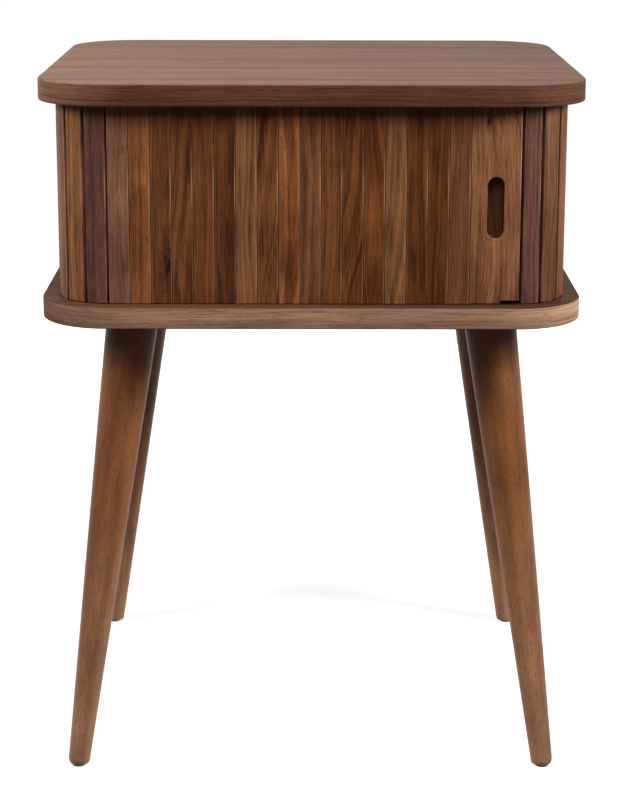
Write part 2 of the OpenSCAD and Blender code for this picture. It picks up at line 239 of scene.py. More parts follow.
def centred(tree, value):
    """A value between 0 and 1, moved to lie between -0.5 and 0.5."""
    return maths(tree, "SUBTRACT", value, 0.5)


def ranged(tree, value, low, high, to_low=0.0, to_high=1.0, smooth=False):
    """A value's place between low and high, as one between to_low and to_high."""
    return add(tree, "ShaderNodeMapRange", {0: value, 1: low, 2: high, 3: to_low, 4: to_high},
               interpolation_type="SMOOTHSTEP" if smooth else "LINEAR").outputs[0]


def mixed(tree, factor, a, b, blend="MIX"):
    """Two colours mixed by a factor."""
    return add(tree, "ShaderNodeMix", {0: factor, 6: a, 7: b}, data_type="RGBA", blend_type=blend,
               clamp_factor=True).outputs[2]


def mixed_value(tree, factor, a, b):
    return maths(tree, "MULTIPLY_ADD", maths(tree, "SUBTRACT", b, a), factor, a)


def tinted(tree, wood, tint):
    return mixed(tree, 1.0, wood, tint, "MULTIPLY")


def stretched(tree, vector, scale):
    """A vector with each axis scaled on its own."""
    return add(tree, "ShaderNodeVectorMath", {0: vector, 1: scale}, operation="MULTIPLY").outputs[0]


def noise(tree, vector, scale, detail=2.0, rough=0.5):
    """Uneven values between 0 and 1, as many to the metre as scale says for each axis."""
    return add(tree, "ShaderNodeTexNoise", {"Vector": stretched(tree, vector, scale), "Scale": 1.0,
                                            "Detail": detail, "Roughness": rough}).outputs["Fac"]


def random_of(tree, number):
    """A random value between 0 and 1 for each whole number."""
    return add(tree, "ShaderNodeTexWhiteNoise", {"W": number}, noise_dimensions="1D").outputs[0]


def object_place(tree):
    return add(tree, "ShaderNodeTexCoord").outputs["Object"]


def axes_of(tree, vector):
    """A vector's X, Y and Z."""
    return add(tree, "ShaderNodeSeparateXYZ", {0: vector}).outputs


def own_frame(tree, matrix):
    """The object's coordinates turned into a board's own frame."""
    return add(tree, "ShaderNodeMapping", {"Vector": object_place(tree), "Location": matrix.translation,
                                           "Rotation": matrix.to_euler("XYZ")}).outputs[0]


BUMP_DISTANCE = 0.2 * MM


def surface(tree, tone, roughness, height, bump, more):
    """The shader and the material's output, with fine relief of a height between 0 and 1."""
    normal = add(tree, "ShaderNodeBump", {"Strength": bump, "Distance": BUMP_DISTANCE, "Height": height})
    shader = add(tree, "ShaderNodeBsdfPrincipled", {"Base Color": tone, "Roughness": roughness,
                                                    "Normal": normal.outputs[0], **more})
    add(tree, "ShaderNodeOutputMaterial", {0: shader.outputs[0]})


def dress(piece, material):
    """Gives a new piece its one material."""
    piece.data.materials.clear()
    piece.data.materials.append(material)


def dress_node(node, material):
    """Gives a CAD node one material, in all its slots."""
    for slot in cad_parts[node].material_slots:
        slot.material = material


# ---------------------------------------------------------------- walnut
# A board's own frame: X across the grain, Y into the board, Z along the grain.
ALONG_X = Matrix.Rotation(math.radians(90), 4, "Y")     # turns a board's grain from Z to X
ALONG_Y = Matrix.Rotation(math.radians(-90), 4, "X")    # and from Z to Y
WHITE = grey(1)
# The colour of the painted highlight on the slats' arrises.
ARRIS_HIGHLIGHT = (0.42, 0.22, 0.13, 1)
KNOT_HEART = (0.009, 0.004, 0.002, 1)
JOINT_LINE = (0.02, 0.012, 0.008, 1)
# Named tones of walnut, each a dark and a light colour.
TONES = {
    "umber": ("3c1f11", "79492b"),
    "bark": ("3b1d0d", "754524"),
    "russet": ("442312", "7c492c"),
    "copper": ("452310", "7e4826"),
    "rust": ("552c17", "935a36"),
    "cocoa": ("48281b", "845236"),
    "plum": ("3a2620", "6f4b3b"),
    "fawn": ("4f3120", "8f5e3c"),
    "grey": ("573829", "91654e"),
    "honey": ("55301f", "996747"),
    "top": ("5a4336", "92705c"),
    "shelf": ("3d261a", "624331"),
    "top edge": ("3f2618", "68422f"),
    "bottom edge": ("745443", "aa866c"),
    "leg": ("57301a", "8d5934"),
}
# Scales of the wood's parts, and of the breaks in the slats' painted arris highlights, in a board's own
# frame, per metre on each axis.
WANDER_SCALE, MOTTLE_SCALE = (34, 34, 7), (60, 60, 17)
FIBRE_SCALE, PORE_SCALE = (780, 780, 30), (1500, 1500, 150)
KNOT_SCALE, PATCH_SCALE, ARRIS_HIGHLIGHT_SCALE = (320, 320, 130), (260, 260, 70), (90, 90, 26)
# How fast a knot of size 1 fades, per metre across and along, and how ragged knots and patches are.
KNOT_ACROSS, KNOT_ALONG, KNOT_RAGGED, PATCH_RAGGED = 330.0, 75.0, 2.2, 1.6
# How far the growth rings wander, in metres, and how steeply they go into the board.
WANDER, DIP = 0.022, 0.6
# How far a seed of 1 moves the wood and its staves, in metres, and its rings, in rings.
SEED_MOVES, SEED_STAVES, SEED_RINGS = (0.731, 0.417, 1.93), 0.0037, 3.7
EDGE_SEED = 5                   # how much more the seed of a board's edge is than its face's
STAVE_STEP = 7.31               # gives staves that follow each other along the grain tones of their own
# What the rings, the mottle and the pores count for in the colour, and how dark the pores are.
RING_WEIGHT, MOTTLE_WEIGHT, PORE_WEIGHT, PORE_TONE = 0.78, 0.6, 0.6, 0.45
# How far in from its flank a slat's painted arris highlight starts and is full, and how strong it is on the
# left and right.
ARRIS_START, ARRIS_FULL, ARRIS_LEFT, ARRIS_RIGHT_MORE = 1.25 * MM, 0.75 * MM, 0.25, 0.35
# How the fibre and the pores change the lacquer's height, its bump, and each finish's spread of roughness.
FIBRE_HEIGHT, PORE_HEIGHT, LACQUER_BUMP = 0.4, -0.6, 0.35
LACQUER_SPREAD, PLAIN_SPREAD, PLAIN_SCALE = 0.16, 0.14, (900, 900, 180)


def walnut_group():
    """Walnut's figure, fibre, pores and mottle, each between 0 and 1, at a place in a board's own frame."""
    tree = bpy.data.node_groups.new("walnut_figure", "ShaderNodeTree")
    sockets = [("Vector", "INPUT", "NodeSocketVector")]
    sockets += [(name, "INPUT", "NodeSocketFloat") for name in ("Seed", "Rings", "Lean", "Arch", "Wander")]
    sockets += [(name, "OUTPUT", "NodeSocketFloat") for name in ("Figure", "Fibre", "Pores", "Mottle")]
    for name, way, kind in sockets:
        tree.interface.new_socket(name, in_out=way, socket_type=kind)
    given = tree.nodes.new("NodeGroupInput").outputs
    results = tree.nodes.new("NodeGroupOutput").inputs
    moves = {axis: maths(tree, "MULTIPLY", given["Seed"], far) for axis, far in enumerate(SEED_MOVES)}
    shift = add(tree, "ShaderNodeCombineXYZ", moves).outputs[0]
    at = add(tree, "ShaderNodeVectorMath", {0: given["Vector"], 1: shift}, operation="ADD").outputs[0]
    own = axes_of(tree, given["Vector"])

    # The growth rings run along the grain, lean, arch and wander a little.
    reach = maths(tree, "MULTIPLY", given["Wander"], WANDER)
    wander = maths(tree, "MULTIPLY", centred(tree, noise(tree, at, WANDER_SCALE, 1.5)), reach)
    lean = maths(tree, "MULTIPLY", own[2], given["Lean"])
    arch = maths(tree, "MULTIPLY", maths(tree, "MULTIPLY", own[2], own[2]), given["Arch"])
    across = maths(tree, "ADD", maths(tree, "ADD", own[0], wander), maths(tree, "ADD", lean, arch))
    deep = maths(tree, "MULTIPLY_ADD", own[1], DIP, across)
    phase = maths(tree, "MULTIPLY_ADD", deep, given["Rings"],
                  maths(tree, "MULTIPLY", given["Seed"], SEED_RINGS))
    rings = add(tree, "ShaderNodeTexNoise", {"W": phase, "Scale": 1.0, "Detail": 3.0, "Roughness": 0.62},
                noise_dimensions="1D").outputs["Fac"]

    # Each part's noise is spread to fill 0 to 1. Only the darkest of the pores' noise makes pores.
    for name, value, low, high in (("Figure", rings, 0.3, 0.7),
                                   ("Fibre", noise(tree, at, FIBRE_SCALE, 3.0, 0.65), 0.3, 0.7),
                                   ("Pores", noise(tree, at, PORE_SCALE, 2.0, 0.6), 0.46, 0.3),
                                   ("Mottle", noise(tree, at, MOTTLE_SCALE), 0.28, 0.72)):
        tree.links.new(ranged(tree, value, low, high), results[name])
    return tree


WALNUT = walnut_group()


def ragged_distance(tree, at, x, z, scale, detail, rough_edge):
    """How far a point is from (0, 0), with an uneven edge."""
    uneven = centred(tree, noise(tree, at, scale, detail))
    squares = maths(tree, "ADD", maths(tree, "MULTIPLY", x, x), maths(tree, "MULTIPLY", z, z))
    return maths(tree, "MULTIPLY_ADD", uneven, rough_edge, maths(tree, "SQRT", squares))


def with_knot(tree, at, own, wood, dark, across, along, size):
    """A dark knot at (across, along), about 6 mm across at size 1, with the grain darkened round it."""
    x = maths(tree, "MULTIPLY", maths(tree, "SUBTRACT", own[0], across), KNOT_ACROSS / size)
    z = maths(tree, "MULTIPLY", maths(tree, "SUBTRACT", own[2], along), KNOT_ALONG / size)
    far = ragged_distance(tree, at, x, z, KNOT_SCALE, 2.0, KNOT_RAGGED)
    stained = mixed(tree, ranged(tree, far, 2.4, 0.4, 0.0, 0.75, smooth=True), wood, scaled(dark, 0.55))
    return mixed(tree, ranged(tree, far, 0.75, 0.35, 0.0, 0.88, smooth=True), stained, KNOT_HEART)


def with_staves(tree, own, wood, seed, width, length, spread, line):
    """Glued staves, each a little lighter or darker than the next, with fine joint lines.

    spread is how much lighter or darker at most, line is how dark the joint lines are. Length 0 is endless.
    """
    count = maths(tree, "DIVIDE", maths(tree, "ADD", own[0], 0.5 + seed * SEED_STAVES), width)
    which = maths(tree, "FLOOR", count)
    if length:
        row = maths(tree, "FLOOR", maths(tree, "MULTIPLY_ADD", own[2], 1 / length, random_of(tree, which)))
        which = maths(tree, "MULTIPLY_ADD", row, STAVE_STEP, which)
    wood = tinted(tree, wood, mixed(tree, random_of(tree, which), grey(1 - spread), grey(1 + spread)))
    edge = maths(tree, "ABSOLUTE", centred(tree, maths(tree, "FRACT", count)))
    return mixed(tree, ranged(tree, edge, 0.485, 0.5, 0.0, line), wood, JOINT_LINE)


def with_patch(tree, at, own, wood, across, along, half_width, half_length, tint):
    """A soft ragged patch at (across, along), lighter or darker than the wood."""
    x = maths(tree, "DIVIDE", maths(tree, "SUBTRACT", own[0], across), half_width)
    z = maths(tree, "DIVIDE", maths(tree, "SUBTRACT", own[2], along), half_length)
    far = ragged_distance(tree, at, x, z, PATCH_SCALE, 3.0, PATCH_RAGGED)
    return mixed(tree, ranged(tree, far, 1.4, 0.3, smooth=True), wood, tinted(tree, wood, grey(tint)))


def with_arris_highlight(tree, at, own, wood, half):
    """A painted highlight along a slat's two long edges, stronger on the right one, and broken unevenly along
    the slat.
    """
    right = maths(tree, "GREATER_THAN", own[0], 0.0)
    near = ranged(tree, maths(tree, "ABSOLUTE", own[0]), half - ARRIS_START, half - ARRIS_FULL, smooth=True)
    # Breaks the painted highlight unevenly along the slat.
    highlight_break = ranged(tree, noise(tree, at, ARRIS_HIGHLIGHT_SCALE), 0.35, 0.7)
    amount = maths(tree, "MULTIPLY", near, maths(tree, "MULTIPLY_ADD", right, ARRIS_RIGHT_MORE, ARRIS_LEFT))
    return mixed(tree, maths(tree, "MULTIPLY", amount, highlight_break), wood, ARRIS_HIGHLIGHT)


def grain(tree, at, tone, seed, rings=260.0, lean=0.0, arch=0.0, wander=1.0, contrast=1.0, shade=1.0,
          fine=0.62, knot=None, staves=None, fades=(), patches=(), arris=None):
    """The colour of walnut at a place in the board's own frame, its fibre and its pores.

    Each of fades is (axis, low, high, tint at low, tint at high). arris is half of a slat's width, whose
    arrises get a painted highlight.
    """
    figure, fibre, pores, mottle = add(
        tree, "ShaderNodeGroup", {"Vector": at, "Seed": seed, "Rings": rings, "Lean": lean, "Arch": arch,
                                  "Wander": wander}, node_tree=WALNUT).outputs
    own = axes_of(tree, at)
    dark, light = (scaled(colour(code), shade) for code in TONES[tone])
    amount = maths(tree, "MULTIPLY_ADD", centred(tree, figure), RING_WEIGHT * contrast, 0.5)
    amount = maths(tree, "MULTIPLY_ADD", centred(tree, fibre), fine, amount)
    amount = maths(tree, "MULTIPLY_ADD", centred(tree, mottle), MOTTLE_WEIGHT * contrast, amount, clamp=True)
    wood = mixed(tree, amount, dark, light)
    wood = mixed(tree, maths(tree, "MULTIPLY", pores, PORE_WEIGHT), wood, scaled(dark, PORE_TONE))
    if knot:
        wood = with_knot(tree, at, own, wood, dark, *knot)
    if staves:
        wood = with_staves(tree, own, wood, seed, *staves)
    for axis, low, high, low_tint, high_tint in fades:
        wood = tinted(tree, wood, mixed(tree, ranged(tree, own[axis], low, high), low_tint, high_tint))
    for patch in patches:
        wood = with_patch(tree, at, own, wood, *patch)
    if arris:
        wood = with_arris_highlight(tree, at, own, wood, arris)
    return wood, fibre, pores


def lacquered(tree, wood, fibre, pores, roughness, gloss):
    """The lacquered surface over a grain's colour, fibre and pores."""
    rough = maths(tree, "MULTIPLY_ADD", fibre, LACQUER_SPREAD, roughness - LACQUER_SPREAD / 2)
    height = maths(tree, "MULTIPLY_ADD", pores, PORE_HEIGHT, maths(tree, "MULTIPLY", fibre, FIBRE_HEIGHT))
    surface(tree, wood, rough, height, LACQUER_BUMP, {"Specular IOR Level": gloss})


def walnut(name, tone, seed, frame_of_grain, roughness=0.55, gloss=0.05, **options):
    """A walnut material. frame_of_grain is the matrix from the row's frame into the board's own frame."""
    material, tree = new_tree(name)
    lacquered(tree, *grain(tree, own_frame(tree, frame_of_grain), tone, seed, **options), roughness, gloss)
    return material


def finish_of(name, code, roughness, metallic=0.0, bump=0.15, dark=0.6, weave=None):
    """A plain finish with a fine uneven or woven surface, for metal, plastic, plain wood and canvas."""
    material, tree = new_tree(name)
    at = object_place(tree)
    if weave:
        own = axes_of(tree, at)
        along = maths(tree, "SINE", maths(tree, "MULTIPLY", maths(tree, "ADD", own[0], own[1]), weave))
        up = maths(tree, "SINE", maths(tree, "MULTIPLY", own[2], weave))
        height = maths(tree, "MULTIPLY_ADD", maths(tree, "MULTIPLY", along, up), 0.5, 0.5)
    else:
        height = noise(tree, at, PLAIN_SCALE, 3.0, 0.6)
    tone = mixed(tree, height, scaled(colour(code), dark), colour(code))
    rough = maths(tree, "MULTIPLY_ADD", height, PLAIN_SPREAD, roughness - PLAIN_SPREAD / 2)
    surface(tree, tone, rough, height, bump, {"Metallic": metallic})
    return material


# ---------------------------------------------------------------- boards
# The veneer's grain runs along X. On the edge is a band whose grain follows the outline.
FACE_STRETCH, BAND_STRETCH = 0.35, 0.6      # both draw the figure out along the grain
# Places along the grain, so stretched: a board's ends, and where the painted highlights and painted shade on
# its edge's corners start and end.
FACE_END, BAND_NEAR, BAND_FAR = 0.079, 0.09, 0.15
# A board's face is tinted from its right end to its left: painted shade at the right, painted light at the
# left.
FACE_RIGHT_SHADE, FACE_LEFT_LIGHT = (0.76, 0.77, 0.79, 1), (1.12, 1.12, 1.11, 1)
BOARD_STAVES = (0.063, 0.0, 0.10, 0.05)
BOARD_ROUGHNESS, BOARD_GLOSS = 0.6, 0.03
BAND_UPRIGHT, FACE_UPRIGHT = 0.45, 0.6      # how upright a normal is where the band ends and the face starts
TINY = 0.00001                              # keeps the angle round a corner defined where there is none


def board_wood(name, tone, edge_tone, seed, left_corner_lighting, right_corner_lighting):
    """A board's veneer, with painted light and shade on its face towards its ends, and painted highlights and
    painted shade on its edge at the left and right corners.
    """
    material, tree = new_tree(name)
    flat = stretched(tree, own_frame(tree, ALONG_X), (1, 1, FACE_STRETCH))
    # The face is paler towards its left end and darker towards its right: painted light and shade.
    face, face_fibre, face_pores = grain(
        tree, flat, tone, seed, rings=75, wander=0.5, contrast=0.6, fine=0.75, staves=BOARD_STAVES,
        fades=((2, -FACE_END, FACE_END, FACE_RIGHT_SHADE, FACE_LEFT_LIGHT),))

    source = add(tree, "ShaderNodeTexCoord").outputs
    own = axes_of(tree, source["Object"])
    straight_x, straight_y = top_high.x - CORNER_R, top_high.y - CORNER_R
    x, y = maths(tree, "ABSOLUTE", own[0]), maths(tree, "ABSOLUTE", own[1])
    angle = maths(tree, "ARCTAN2", maths(tree, "MAXIMUM", maths(tree, "SUBTRACT", x, straight_x), 0.0),
                  maths(tree, "MAXIMUM", maths(tree, "SUBTRACT", y, straight_y), TINY))
    past_corner = maths(tree, "SUBTRACT", straight_y, maths(tree, "MINIMUM", y, straight_y))
    along = maths(tree, "MULTIPLY_ADD", angle, CORNER_R, maths(tree, "MINIMUM", x, straight_x))
    along = maths(tree, "MULTIPLY", maths(tree, "ADD", along, past_corner), maths(tree, "SIGN", own[0]))
    band_at = add(tree, "ShaderNodeCombineXYZ", {0: own[2], 1: 0.0, 2: along}).outputs[0]
    # The band's tints at the left and right corners are painted highlights and painted shade.
    band, band_fibre, band_pores = grain(
        tree, stretched(tree, band_at, (1, 1, BAND_STRETCH)), edge_tone, seed + EDGE_SEED, rings=230,
        wander=0.8, contrast=0.6, fine=0.75,
        fades=((2, -BAND_FAR, -BAND_NEAR, left_corner_lighting, WHITE), (2, BAND_NEAR, BAND_FAR, WHITE, right_corner_lighting)))

    upright = maths(tree, "ABSOLUTE", axes_of(tree, source["Normal"])[2])
    flatness = ranged(tree, upright, BAND_UPRIGHT, FACE_UPRIGHT)
    lacquered(tree, mixed(tree, flatness, band, face), mixed_value(tree, flatness, band_fibre, face_fibre),
              mixed_value(tree, flatness, band_pores, face_pores), BOARD_ROUGHNESS, BOARD_GLOSS)
    return material


def board(name, z0, z1, track_z, material):
    """A board with round corners and eased edges, with the curtain's track routed in the face at track_z."""
    x0, y0, x1, y1 = top_low.x, top_low.y, top_high.x, top_high.y
    up, plain_z = (1, z0) if track_z == z1 else (-1, z1)
    track_floor = track_z - up * TRACK_DEPTH

    def outline(inset, z):
        return round_rect(x0 + inset, y0 + inset, x1 - inset, y1 - inset, CORNER_R - inset, z)

    def track_ring(out, z):
        return round_rect(-PITCH_X - out, PITCH_FRONT - out, PITCH_X + out, PITCH_REAR + out, BEND_R + out, z)

    rings = [outline(FACE_RING, plain_z)]
    for out, along in reversed(quarter()):
        rings.append(outline(BOARD_EASE * (1 - along), plain_z + up * BOARD_EASE * (1 - out)))
    for out, along in quarter():
        rings.append(outline(BOARD_EASE * (1 - along), track_z - up * BOARD_EASE * (1 - out)))
    rings += [outline(FACE_RING, track_z), track_ring(TRACK_OUT, track_z), track_ring(TRACK_OUT, track_floor),
              track_ring(TRACK_IN, track_floor), track_ring(TRACK_IN, track_z)]
    bm = bmesh.new()
    loft(bm, rings)
    piece = new_piece(name, bm, "cabinet", smooth_angle=50)
    dress(piece, material)
    return piece


# Painted highlights on the top board's edge at both corners and on the bottom board's edge at the right
# corner, and painted shade on the bottom board's edge at the left corner.
top = board("top_board", top_low.z, top_high.z, CEILING_Z,
            board_wood("top_veneer", "top", "top edge", 3.0, (2.5, 3.15, 4.1, 1), (1.08, 1.15, 1.3, 1)))
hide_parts("top_panel")
bottom = board("bottom_board", bottom_low.z, bottom_high.z, FLOOR_Z,
               board_wood("bottom_veneer", "shelf", "bottom edge", 8.0, (0.34, 0.31, 0.31, 1),
                          (1.75, 1.9, 1.85, 1)))
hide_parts("bottom_panel")

# ---------------------------------------------------------------- slats
# A slat's grain is measured from its middle, where its back is at y = 0 and its face at y = -SLAT_T.
SLAT_MIDDLE = Matrix.Translation((0, 0, -(SLAT_Z0 + SLAT_Z1) / 2))
# A slat's flanks lie deeper than its face and are darkened there: painted shade in the gaps between slats,
# and in the lead slat's finger slot.
PAINTED_FLANK_SHADE = (1, -SLAT_T + 0.5 * MM, -SLAT_T + 1.6 * MM, WHITE, (0.4, 0.36, 0.33, 1))


def slat_outline(width):
    """A slat seen from above, with rounded arrises on its face."""
    half = width / 2
    right = [(half - ARRIS * (1 - out), -SLAT_T + ARRIS * (1 - along)) for out, along in quarter(3)]
    left = [(-x, y) for x, y in reversed(right)]
    return [(half, 0), (-half, 0)] + left + right


def slat(name, body, s, look, replaces, length=SLAT_PITCH, mirrored=False):
    """One slat with its tongues, on the track from s to s + length."""
    where = place(s, length, mirrored)
    width = length - SLAT_GAP
    bm = bmesh.new()
    prism(bm, slat_outline(width), SLAT_Z0, SLAT_Z1, where)
    for z0, z1 in TONGUE_SPANS:
        tongue(bm, -TONGUE_W / 2, TONGUE_W / 2, z0, z1, where)
    piece = new_piece(name, bm, body)
    # The flanks' darkening is painted shade in the gaps between slats.
    options = {**look, "fades": (PAINTED_FLANK_SHADE, *look.get("fades", ())), "arris": width / 2}
    dress(piece, walnut(name + "_wood", frame_of_grain=SLAT_MIDDLE @ where.inverted(), **options))
    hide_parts(*replaces)


def look(tone, seed, **options):
    return dict(options, tone=tone, seed=seed)


# What the photograph shows of each door slat, from the left bend to the lead slat. A knot is its place across
# and along the slat, from its middle, and its size. A patch is its place, its half width, its half length and
# its tint.
DOOR_LOOKS = [
    look("grey", 1, rings=90, contrast=0.8, shade=0.95,
         patches=((0.001, 0.004, 0.006, 0.012, 1.16), (0.004, 0.045, 0.003, 0.004, 0.8),
                  (0.0, -0.05, 0.007, 0.016, 0.75))),
    look("rust", 2, rings=110, shade=0.88, patches=((0.0, 0.022, 0.008, 0.007, 1.5),)),
    look("umber", 3, rings=100, contrast=0.8, shade=1.1, knot=(0.0045, -0.045, 1.15)),
    look("umber", 4, rings=150, lean=-0.12, contrast=0.95, shade=0.94,
         patches=((-0.003, -0.055, 0.006, 0.03, 1.3),)),
    look("russet", 5, rings=110, contrast=0.6),
    look("umber", 6, rings=130, contrast=1.1, shade=0.72, patches=((0.005, 0.045, 0.003, 0.03, 0.6),)),
    look("fawn", 7, rings=230, contrast=0.8, shade=1.03),
    look("umber", 8, rings=190, lean=-0.14, contrast=0.95, shade=1.05),
    look("rust", 9, rings=110, arch=1.2, shade=1.22,
         patches=((0.003, -0.022, 0.006, 0.008, 1.3), (-0.003, -0.052, 0.006, 0.02, 0.68))),
    look("cocoa", 10, rings=110, contrast=0.7),
    look("umber", 11, rings=100, contrast=0.7, shade=1.1),
    look("bark", 12, rings=210, lean=-0.12, contrast=1.05, shade=0.97),
    look("copper", 13, rings=150, lean=0.10, contrast=1.15, shade=0.87,
         patches=((-0.002, -0.01, 0.003, 0.04, 1.35),)),
    look("fawn", 14, rings=190, lean=-0.06, arch=0.7, contrast=0.95, shade=0.93),
    look("bark", 15, rings=120, lean=0.02, contrast=1.2, shade=0.92),
    look("bark", 16, rings=110, contrast=1.0, shade=0.9),
    look("cocoa", 17, rings=110, contrast=0.7, shade=0.9),
]
CORNER_LOOKS = [
    look("plum", 21, rings=110, shade=0.98),
    look("fawn", 22, rings=200, contrast=0.7, shade=1.12),
    look("grey", 23, rings=100, shade=0.95),
    look("umber", 24, rings=160),
]
JAMB_LOOK = look("plum", 51, rings=260, contrast=0.7, shade=1.07)
FIXED_LOOKS = {
    # This slat is darker towards the bottom and paler towards the top: painted light and shade.
    1: look("grey", 52, rings=200, lean=-0.04, shade=0.8,
            fades=((2, -0.01, 0.085, (0.64, 0.58, 0.51, 1), (1.25, 1.25, 1.22, 1)),)),
    2: look("rust", 53, rings=200, shade=0.9),
    3: look("fawn", 54, rings=150, shade=0.97),
}
TONE_ORDER = ["umber", "russet", "cocoa", "rust", "plum", "fawn", "umber", "russet", "grey", "cocoa", "plum",
              "umber", "rust"]


def unseen_look(n):
    """Slats that the photograph doesn't show vary in the same way."""
    return look(TONE_ORDER[(n * 5) % len(TONE_ORDER)], 30 + n * 1.7, rings=110 + (n * 37) % 130,
                lean=0.05 * math.sin(n * 2.3), contrast=0.7 + 0.5 * abs(math.sin(n * 1.1)))


# With the door open, the front slats from this one on stand on the bend, so each rides on its own body.
FIRST_END = 14
BODY_OF_END = {n: f"door_end_{n}" for n in range(FIRST_END, FRONT_SLATS + 1)}
for n in range(1, FRONT_SLATS + 1):
    slat(f"front_slat_{n:02d}", BODY_OF_END.get(n, "door_run"), -n * SLAT_PITCH, DOOR_LOOKS[n - 1],
         (f"door_slat_{n:02d}",))

for n in range(1, BEND_SLATS + SIDE_SLATS + TAIL_SLATS + 1):
    tail = n - BEND_SLATS - SIDE_SLATS
    if n <= BEND_SLATS:
        node, body = f"corner_slat_{n}", f"corner_{n}"
    elif n == BEND_SLATS + 1:
        node, body = "first_side_slat", "side_first"
    elif tail <= 0:
        node, body = "side_slats", "side_run"
    else:
        node, body = f"tail_slat_{tail}", f"tail_{tail}"
    slat(f"curtain_slat_{n:02d}", body, (n - 1) * SLAT_PITCH,
         CORNER_LOOKS[n - 1] if n <= BEND_SLATS else unseen_look(n), (node,))

# On the right, the closing jamb and the slats past it stay still.
slat("jamb", "cabinet", JAMB_START, JAMB_LOOK, ("jamb_slat",), JAMB_PITCH, True)
FIXED_START = JAMB_START + JAMB_PITCH
FIXED_SIDE = math.floor((BEND_LEN + SIDE_LEN - FIXED_START) / SLAT_PITCH) - BEND_SLATS + 1
FIXED_TAIL = math.ceil((2 * BEND_LEN + SIDE_LEN - FIXED_START) / SLAT_PITCH) - BEND_SLATS + 1 - FIXED_SIDE
for n in range(1, BEND_SLATS + FIXED_SIDE + FIXED_TAIL):
    if n < BEND_SLATS:
        node = "right_corner_slats"
    elif n < BEND_SLATS + FIXED_SIDE:
        node = "right_side_slats"
    else:
        node = "right_rear_slats"
    slat(f"fixed_slat_{n:02d}", "cabinet", FIXED_START + (n - 1) * SLAT_PITCH,
         FIXED_LOOKS.get(n) or unseen_look(n + 7), (node,), mirrored=True)


# ---------------------------------------------------------------- lead slat
def lead_slat():
    """The wide slat with a blind finger slot and a small relief under its closing corner."""
    middle_x = -BEND_X + FRONT_SLATS * SLAT_PITCH + SLAT_GAP / 2 + LEAD_W / 2
    where = Matrix.Translation((middle_x, PITCH_FRONT, 0))
    grip_z = (FLOOR_Z + CEILING_Z) / 2 + GRIP_RISE
    half, rib = LEAD_W / 2, LEAD_RIB_W / 2
    notch = half - RELIEF_W

    def upright(points, y):
        return [where @ Vector((x, y, z)) for x, z in points]

    def edge(inset, y):
        low, high, step = SLAT_Z0 + inset, SLAT_Z1 - inset, SLAT_Z0 + RELIEF_H + inset
        return upright([(-half + inset, low), (notch - inset, low), (notch - inset, step),
                        (half - inset, step), (half - inset, high), (-half + inset, high)], y)

    def grip_ring(grow, y):
        ring = slot_ring(GRIP_W + 2 * grow, GRIP_H + 2 * grow, y)
        return [where @ (p + Vector((0, 0, grip_z))) for p in ring]

    outer = [edge(0, 0)]
    outer += [edge(ARRIS * (1 - along), -SLAT_T + ARRIS * (1 - out)) for out, along in quarter(3)]
    inner = [grip_ring(GRIP_RIM * (1 - out), -SLAT_T + GRIP_RIM * (1 - along)) for out, along in quarter()]
    inner += [grip_ring(-GRIP_COVE * (1 - along), -SLAT_T + GRIP_DEPTH - GRIP_COVE * along)
              for out, along in quarter()]
    rib_z0, rib_z1 = SLAT_Z0 + RELIEF_H + RIB_SETBACK, SLAT_Z1 - RIB_SETBACK
    corners = ((-rib, rib_z0), (rib, rib_z0), (rib, rib_z1), (-rib, rib_z1))
    thick = [upright(corners, y) for y in (0, LEAD_RIB_T)]

    bm = bmesh.new()
    outer, inner, thick = (new_rows(bm, rings) for rings in (outer, inner, thick))
    for rows in (outer, inner, thick):
        skin(bm, rows)
    bm.faces.new(inner[-1])
    bm.faces.new(thick[-1])
    for ring, hole in ((outer[-1], inner[0]), (outer[0], thick[0])):
        border = [bm.edges.get(pair) for row in (ring, hole) for pair in zip(row, row[1:] + row[:1])]
        bmesh.ops.triangle_fill(bm, use_beauty=True, use_dissolve=False, edges=border)
    for z0, z1 in TONGUE_SPANS:
        tongue(bm, -rib, notch if z0 < FLOOR_Z else rib, z0, z1, where)
    piece = new_piece("lead_board", bm, "lead")
    # The flanks' darkening also darkens the inside of the finger slot: painted shade.
    dress(piece, walnut("lead_wood", "honey", 61, SLAT_MIDDLE @ where.inverted(), rings=230, lean=0.05,
                        arch=0.9, contrast=0.9, fades=(PAINTED_FLANK_SHADE,), arris=half, knot=(-0.0069, 0.070, 0.5)))
    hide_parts("lead_slat")


lead_slat()

# ---------------------------------------------------------------- legs
# Along a leg from its middle: the foot is paler and greyer, painted light; the head is paler, painted light,
# and then dark under the board, a painted shadow. The rear legs are paler all over than the front ones,
# painted light.
FOOT_LIGHT_FADE, HEAD_LIGHT_FADE, HEAD_SHADOW_FADE = (-0.2, 0.05), (0.0, 0.13), (0.14, 0.193)
HEAD_LIGHT_TINT, HEAD_SHADOW_TINT = (1.25, 1.25, 1.28, 1), (0.2, 0.13, 0.09, 1)
FRONT_FOOT_LIGHT, REAR_FOOT_LIGHT = (1.95, 2.65, 4.2, 1), (2.6, 3.5, 5.4, 1)
FRONT_SHADE, REAR_PAINTED_LIGHT = 0.94, 1.12
LEG_STAVES, LEG_ROUGHNESS, LEG_GLOSS = (0.021, 0.17, 0.10, 0.1), 0.43, 0.12


